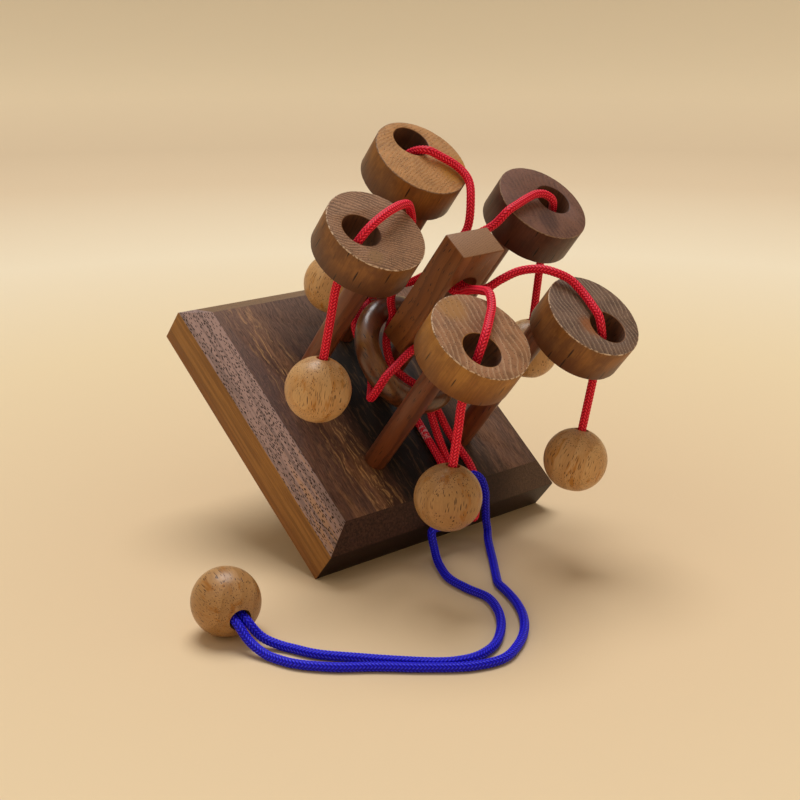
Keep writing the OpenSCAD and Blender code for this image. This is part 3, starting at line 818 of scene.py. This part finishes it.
def braid(name, cord, material, first=0, last=None, closed=(True, True)):
    """One stretch of a laid cord as a mesh, from ring first to ring last."""
    rings = cord["rings"][first:last] * MM
    crest = cord["crest"][first:last]
    run = cord["run"][first:last]
    n, k = crest.shape
    index = np.arange(n * k).reshape(n, k)
    around = np.roll(index, -1, axis=1)
    walls = np.stack([index[:-1], around[:-1], around[1:], index[1:]], -1).reshape(-1, 4)
    ends = [index[0][::-1].tolist()] * closed[0] + [index[-1].tolist()] * closed[1]
    mesh = bpy.data.meshes.new(name)
    mesh.from_pydata(rings.reshape(-1, 3).tolist(), [], walls.tolist() + ends)
    height = mesh.attributes.new("stitch_height", "FLOAT", "POINT")
    height.data.foreach_set("value", crest.reshape(-1).astype(np.float32))
    # The UV map runs once round the cord and counts its length in centimetres
    uv = mesh.uv_layers.new(name="braid")
    corner = np.zeros((len(mesh.loops), 2))
    step = np.arange(k)
    u = np.stack([step, step + 1, step + 1, step], -1) / k
    corner[:walls.size, 0] = np.tile(u.reshape(-1), n - 1)
    v = np.stack([run[:-1], run[:-1], run[1:], run[1:]], -1) / 10
    corner[:walls.size, 1] = np.repeat(v[:, None], k, axis=1).reshape(-1)
    uv.data.foreach_set("uv", corner.reshape(-1))
    mesh.polygons.foreach_set("use_smooth", [True] * len(mesh.polygons))
    mesh.materials.append(material)
    mesh.update()
    piece = bpy.data.objects.new(name, mesh)
    bpy.context.scene.collection.objects.link(piece)
    return piece


# The filaments in the stitches, drawn several times thicker than real so that they show
FILAMENTS_ROUND = 90
FILAMENTS_PER_CM = 14


def braided_polyester(name, gap_shade, body, crest, glued=()):
    """Braided polyester: shiny stitches with fine filaments, their gaps darker as painted shade and their
    tops lighter as a painted highlight.

    glued lists the middles of the whitish spots of dried glue, in centimetres along the cord.
    """
    material, tree, shader = new_material(name, 0.5, specular=0.2)
    height = add(tree, "Attribute", attribute_name="stitch_height").outputs["Fac"]
    # The gaps between stitches are coloured darker: painted shade
    colour = add(tree, "Mix", (add(tree, "MapRange", (height, 0.15, 0.7)), gap_shade, body))
    uv = add(tree, "UVMap", uv_map="braid")
    spread = add(tree, "Mapping", {"Vector": uv, "Scale": (FILAMENTS_ROUND, FILAMENTS_PER_CM, 1)})
    filament = add(tree, "TexNoise", {"Vector": spread, "Scale": 1.0, "Detail": 2.0})
    # The tops of the stitches are coloured lighter: a painted highlight
    painted_highlight = add(tree, "Math", (
        add(tree, "MapRange", (height, 0.72, 1.0)), add(tree, "MapRange", (filament, 0.35, 0.65, 0.3, 1)),
    ), operation="MULTIPLY")
    colour = add(tree, "Mix", (painted_highlight, colour, crest))
    along = add(tree, "SeparateXYZ", {"Vector": uv}).outputs[1]
    smear = add(tree, "Mapping", {"Vector": uv, "Scale": (5, 9, 1)})
    smear = add(tree, "TexNoise", {"Vector": smear, "Scale": 1.0, "Detail": 3.0})
    for middle in glued:
        apart = add(tree, "Math", (along, middle), operation="SUBTRACT")
        apart = add(tree, "Math", (apart,), operation="ABSOLUTE")
        spot = add(tree, "Math", (
            add(tree, "MapRange", (apart, 0.4, 0.2)), add(tree, "MapRange", (smear, 0.46, 0.6)),
        ), operation="MULTIPLY")
        colour = add(tree, "Mix", (spot, colour, "#d9a3b4"))
    bump = add(tree, "Bump", {"Height": filament, "Strength": 0.25, "Distance": 0.1 * MM})
    feed(tree, shader, {"Base Color": colour, "Normal": bump})
    return material


# Gap, body and stitch top: painted shade, the cord's red, and a painted highlight
RED = ("#780016", "#f21036", "#ff7288")
red_polyester = braided_polyester("red_braided_polyester", *RED)
glued_polyester = braided_polyester("red_braided_polyester_with_glue", *RED, glued=(0.9, 45.5))

# The routes over the flat board, disc by disc to the head and off it again. The third cord goes
# down through the ring, round the blue cord at the front, round the ring and up into the head.
BACK_OVER = [
    (-0.4, 114.5, 106), (2, 112.9, 114.2), (4.2, 108.5, 119.2), (9, 104.5, 119),
    (13.5, 98.5, 119), (14, 91, 119), (11.1, 83, 116), (9, 75.8, 107.4), (3.6, 73.3, 100.6),
    (-2.5, 71.5, 94.5), (-3.2, 66, 92.8), (-3.2, 60, 92.8),
]
FRONT_LEFT_OVER = [
    (-2.2, 55.5, 95), (-5, 50.5, 102.5), (-10, 43.5, 111), (-16.3, 36.2, 118.5),
    (-20, 30.5, 119), (-25, 25.5, 119), (-31, 20, 119), (-34.5, 16, 115.5), (-35.8, 12.8, 108),
]
RIGHT_OVER = [
    (57, 74.6, 106.5), (54.4, 75.2, 113.6), (51.2, 76, 118), (47.2, 77.8, 119.6),
    (42.6, 78.5, 119.6), (37, 77.4, 119.3), (30.2, 75.4, 119), (22.8, 73.2, 118.1),
    (19, 72.6, 111.8), (13.4, 73.6, 105.4), (7, 73.5, 98.5), (3.5, 71, 94), (3.2, 66, 93),
    (3.2, 60, 93),
]
FRONT_RIGHT_OVER = [
    (4, 56, 95), (6.5, 52.3, 98.5), (10, 50.5, 105.5), (14, 48.5, 111.5), (18, 43.5, 117.5),
    (21.5, 39, 119.6), (26, 35, 119.4), (28, 28.5, 119), (27.8, 21, 119), (27.5, 16, 118.6),
    (27.2, 12.4, 116.6), (28.6, 10.2, 113), (32.4, 9, 105.5),
]
LEFT_OVER = [
    (-54.6, 72.2, 107), (-54, 72.2, 114.5), (-50.8, 73.6, 119), (-46, 75.6, 121),
    (-40.6, 77.6, 122), (-35.6, 79.4, 121.9), (-30, 81.4, 120.9), (-25.2, 82.2, 119.8),
    (-21.5, 82.2, 115.8), (-18.2, 81, 109.5), (-16.8, 78.5, 99), (-14.5, 76.8, 88),
    (-12, 77, 78),
]
RING_PASS = [
    (-9, 76, 68), (-7, 72.6, 62), (-6.3, 72, 57), (-7.5, 68, 51), (-6.8, 60, 45.5),
    (-2.5, 54.5, 43), (3.2, 49, 41), (6.6, 42.4, 36), (8.3, 35, 30.5), (8.7, 28.6, 27.4),
]
FRONT_BIGHT = [
    (8.2, 22.4, 26), (7.3, 16.5, 26.3), (4.3, 10, 27.8), (2.9, 3.5, 27.2), (3.9, -1.8, 24.2),
    (5.4, -4.8, 21.2), (8, -5, 19.8), (10.3, -2.4, 20.6), (12, 1.6, 22.8), (13, 5.2, 24.2),
    (15.1, 9.9, 26.3), (17, 17, 26.3), (17, 25, 26.3), (16, 31.5, 27.5), (13.5, 38, 31.5),
]
RING_WRAP = [
    (11, 44, 35.5), (8.8, 50.5, 41), (7.5, 52.3, 47.5), (4.5, 53, 55), (0, 54, 60.5),
    (-4.5, 54.9, 63.5), (-9, 54.6, 62.6), (-16.5, 52, 58.8), (-24, 48.8, 56.8),
    (-27.2, 46.8, 52.5), (-27, 47, 47.5), (-25.5, 48.4, 43.8), (-21.5, 52, 41.2),
    (-17, 58.5, 41.5), (-15.5, 68, 44.5),
]
HOLE_CLIMB = [
    (-15.5, 80.5, 50), (-9.5, 85.5, 51.5), (-3.5, 88, 54), (-6, 88, 61), (-2, 85, 66.5),
    (3.5, 81.5, 71), (3.2, 77, 80), (1, 72.5, 87.2), (0, 66, 88.6), (0, 62, 88.6),
]


def hanging(place):
    """Points of a cord's hanging end, from the knot in its ball up to the bend."""
    bend, way = bend_of(place)
    ball = Vector(BALL_AT[place])
    reach = (ball - bend).length + KNOT_DEEP
    return [tuple(bend + share * reach * way) for share in (1, 0.85, 0.7, 0.5, 0.3, 0.12)]


def on_board(points):
    """Points laid out on the flat board, in the leaning pose."""
    return [tuple(leaned(p)) for p in points]


def barrel_knot(name, heart, way, length, radius, turns, points, material):
    """A barrel knot: the cord's end coiled round the cord, tucked up in the ball."""
    side = way.orthogonal().normalized()
    up = way.cross(side)
    coil = [heart + (t - 0.5) * length * way + radius * (
        math.cos(2 * math.pi * turns * t) * side + math.sin(2 * math.pi * turns * t) * up
    ) for t in np.linspace(0, 1, points).tolist()]
    return braid(name, lay([tuple(p) for p in coil], step=0.3, around=24), material)


# How far up in its disc hole a hanging end starts
CUT_UP = 8


def hang_end(cord, place, reverse):
    """The hanging stretch of a laid cord: it bends below the disc."""
    bend, way = bend_of(place)
    inside = np.array(bend + leaned((0, 0, CUT_UP)))
    cut_at = int(np.linalg.norm(cord["line"] - inside, axis=1).argmin())
    first, last = (cut_at, None) if reverse else (0, cut_at + 1)
    piece = braid("hanging_red_cord_" + place, cord, red_polyester, first, last, (not reverse, reverse))
    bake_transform(piece)
    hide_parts("hanging_cord_" + place)
    heart = Vector(BALL_AT[place]) + KNOT_DEEP * way
    knot = barrel_knot(
        "stopper_knot_" + place, heart, way, length=-5.2, radius=2.4, turns=1.6, points=22,
        material=red_polyester,
    )
    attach(knot, "cord_end_" + place)
    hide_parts("hanging_cord_" + place)
    line = cord["line"][first:last] * MM
    if not reverse:
        line = line[::-1]
    return cut_at


for name, points, start, end in (
    ("red_cord_back_to_front_left", BACK_OVER + FRONT_LEFT_OVER, "back", "front_left"),
    ("red_cord_right_to_front_right", RIGHT_OVER + FRONT_RIGHT_OVER, "right", "front_right"),
    ("red_cord_left_loop", LEFT_OVER + RING_PASS + FRONT_BIGHT + RING_WRAP + HOLE_CLIMB, "left", None),
):
    cord = lay(hanging(start) + on_board(points) + (hanging(end)[::-1] if end else []))
    first = hang_end(cord, start, False)
    last = hang_end(cord, end, True) if end else len(cord["line"]) - 1
    middle = braid(
        "braided_" + name, cord, red_polyester if end else glued_polyester, first, last + 1,
        (False, end is None),
    )
    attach(middle, "root")
    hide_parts(name)

# The glued tail
# A short cut length of the same braided cord that lies on the board beside the front loop. Its
# end is stiff and whitish with dried glue.
GLUED_TAIL = [
    (6.3, 44.5, 25.9), (6, 40, 25.9), (5.3, 33, 25.9), (4.9, 28, 25.9), (4.4, 23, 25.9),
    (4, 20, 25.9), (3.1, 16.6, 25.9), (2, 13.6, 25.9),
]
tail = braid("braided_red_cord_tail", lay(on_board(GLUED_TAIL)), glued_polyester)
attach(tail, "root")
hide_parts("red_cord_tail")

# The blue loop
# The same cord in blue. It hooks round the red cord at the front edge of the board, both legs
# lie on the table, and both ends go side by side into the loop ball.
# Gap, body and stitch top: painted shade, the cord's blue, and a painted highlight
blue_polyester = braided_polyester("blue_braided_polyester", "#05006c", "#1107ea", "#6468ff")
LOOP_BALL_AT = Vector((-117.5, -16.5, BALL_D / 2))
# The way that the ball's mouth faces, and the two legs' places beside its middle
MOUTH = Vector((-0.175, -0.96, -0.215)).normalized()
BESIDE = 1.9 * MOUTH.cross(Vector((0, 0, 1))).normalized()
BLUE_KNOT_DEEP = 4.5
# The routes of the two legs on the table, and of the hook between them over the flat board
BLUE_INNER = [
    (-115, -34.1, 4.3), (-110.7, -41.4, 1.8), (-105.8, -53.6, 1.8), (-97.7, -64.5, 1.8),
    (-88.7, -75.6, 1.8), (-79.3, -85.8, 1.8), (-74.3, -89.4, 1.8), (-67.3, -91.8, 1.8),
    (-60.5, -91.4, 1.8), (-53.7, -89, 1.8), (-42.3, -80.6, 1.8), (-33.5, -70.3, 1.8),
    (-28.3, -59.7, 1.8), (-28.3, -49.8, 1.8), (-26.7, -37.4, 1.8), (-19.9, -24.5, 1.8),
    (-15.7, -17.6, 4.6),
]
BLUE_HOOK = [
    (-14, -3.9, 17.9), (-6, -3.6, 17.6), (0, -3, 18), (4, 0.8, 20.9), (6.6, 5.6, 25),
    (8.6, 8.6, 28.2), (11.5, 9, 29.9), (14.2, 6.6, 29.4), (15.2, 2, 26.6), (15.3, -2.2, 22),
    (15.5, -6.6, 17),
]
BLUE_OUTER = [
    (15.7, -16.5, 4.8), (11.4, -21, 3.4), (5, -28.8, 2.1), (-0.2, -35.1, 1.8),
    (-11.8, -48.5, 1.8), (-15.9, -53.6, 1.8), (-18.1, -59, 1.8), (-22.5, -68.5, 1.8),
    (-29.5, -79.2, 1.8), (-38.5, -88.4, 1.8), (-49.2, -95.4, 1.8), (-60.5, -99.2, 1.8),
    (-72.4, -95.9, 1.8), (-84.7, -86.2, 1.8), (-96.7, -74.6, 1.8), (-108.5, -64.3, 1.8),
    (-116, -54.2, 1.8), (-119.2, -44, 1.8), (-121, -35.3, 4.8),
]
mouth_in = [tuple(LOOP_BALL_AT + d * MOUTH - BESIDE) for d in (0, BALL_D / 2)]
mouth_out = [tuple(LOOP_BALL_AT + d * MOUTH + BESIDE) for d in (BALL_D / 2, 0)]
blue = lay(mouth_in + BLUE_INNER + on_board(BLUE_HOOK) + BLUE_OUTER + mouth_out)
blue_cord = braid("braided_blue_cord", blue, blue_polyester)
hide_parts("blue_cord_loop")
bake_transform(blue_cord)
loop_ball = turned_ball(
    "ball_wood_loop", LOOP_BALL_AT, -MOUTH, mouth_d=8.4, knot_from=-0.5, seed=21.0, palette=SHADED_BALL,
)
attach(loop_ball, "blue_loop_ball")
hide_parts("loop_ball")
blue_knot = barrel_knot(
    "blue_stopper_knot", LOOP_BALL_AT - BLUE_KNOT_DEEP * MOUTH, MOUTH, length=6.4, radius=2.9, turns=1.7,
    points=24, material=blue_polyester,
)
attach(blue_knot, "blue_loop")
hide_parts("blue_cord_knot")

# The table and the light
# A plain pale sweep of paper under one wide soft lamp high above and behind, with a little soft
# light from the left. The paper is matt, with painted light: darker close round the object, brightest a
# little way out, duller far off.
PAPER_REACH = 3
# The paper's painted light and shade: its colours by their distance from the object, in metres
PAPER_LIGHT_AT = (
    (0.12, "#dfc5a0"), (0.36, "#e6d1ab"), (0.66, "#ebdcbf"), (1.1, "#dac4a4"), (1.45, "#d2bc9c"),
    (2.6, "#dbc7a5"),
)
# Where the sweep starts to rise
SWEEP_FROM = 2.4
paper, tree, shader = new_material("pale_paper_painted_light", 0.9, specular=0.1)
away = distance_from(tree, add(tree, "TexCoord").outputs["Object"], (0, 0))
feed(tree, shader, {"Base Color": colours_along(tree, away, 0, PAPER_REACH, PAPER_LIGHT_AT)})
table = fresh("grid", "paper_sweep", x_subdivisions=80, y_subdivisions=80, size=9)
for vertex in table.data.vertices:
    vertex.co.z = 0.5 * max(0.0, vertex.co.xy.length - SWEEP_FROM) ** 2
bpy.ops.object.shade_smooth()
table.data.materials.append(paper)

world = bpy.data.worlds.new("studio")
bpy.context.scene.world = world
world.use_nodes = True
background = world.node_tree.nodes["Background"]
background.inputs["Color"].default_value = linear("#ffffff")
background.inputs["Strength"].default_value = 0.28


def soft_lamp(name, place, spread, power, colour):
    """A wide distant lamp that faces the object, so the paper is lit evenly."""
    lamp = bpy.data.lights.new(name, "SUN")
    lamp.angle = math.radians(spread)
    lamp.energy = power
    lamp.color = linear(colour)[:3]
    holder = bpy.data.objects.new(name, lamp)
    bpy.context.scene.collection.objects.link(holder)
    holder.location = place
    holder.rotation_euler = Vector(place).to_track_quat("Z", "Y").to_euler()


soft_lamp("overhead_lamp", (0.2, 0.3, 1.1), 38, 2.2, "#ffffff")
soft_lamp("left_lamp", (-1.0, 0.1, 0.7), 60, 0.3, "#fff0d8")

# The camera
# At the photograph's viewing angle: 42 degrees round from the front, 16 degrees down.
camera = bpy.data.cameras.new("camera")
camera.sensor_width = 36
camera.lens = 64.42
camera.clip_start = 0.01
eye = bpy.data.objects.new("camera", camera)
bpy.context.scene.collection.objects.link(eye)
eye.location = (-0.3868, -0.4068, 0.2266)
eye.rotation_euler = (math.radians(90 - 16.46), 0, math.radians(-42.14))
bpy.context.scene.camera = eye
bpy.context.scene.view_settings.view_transform = "Standard"
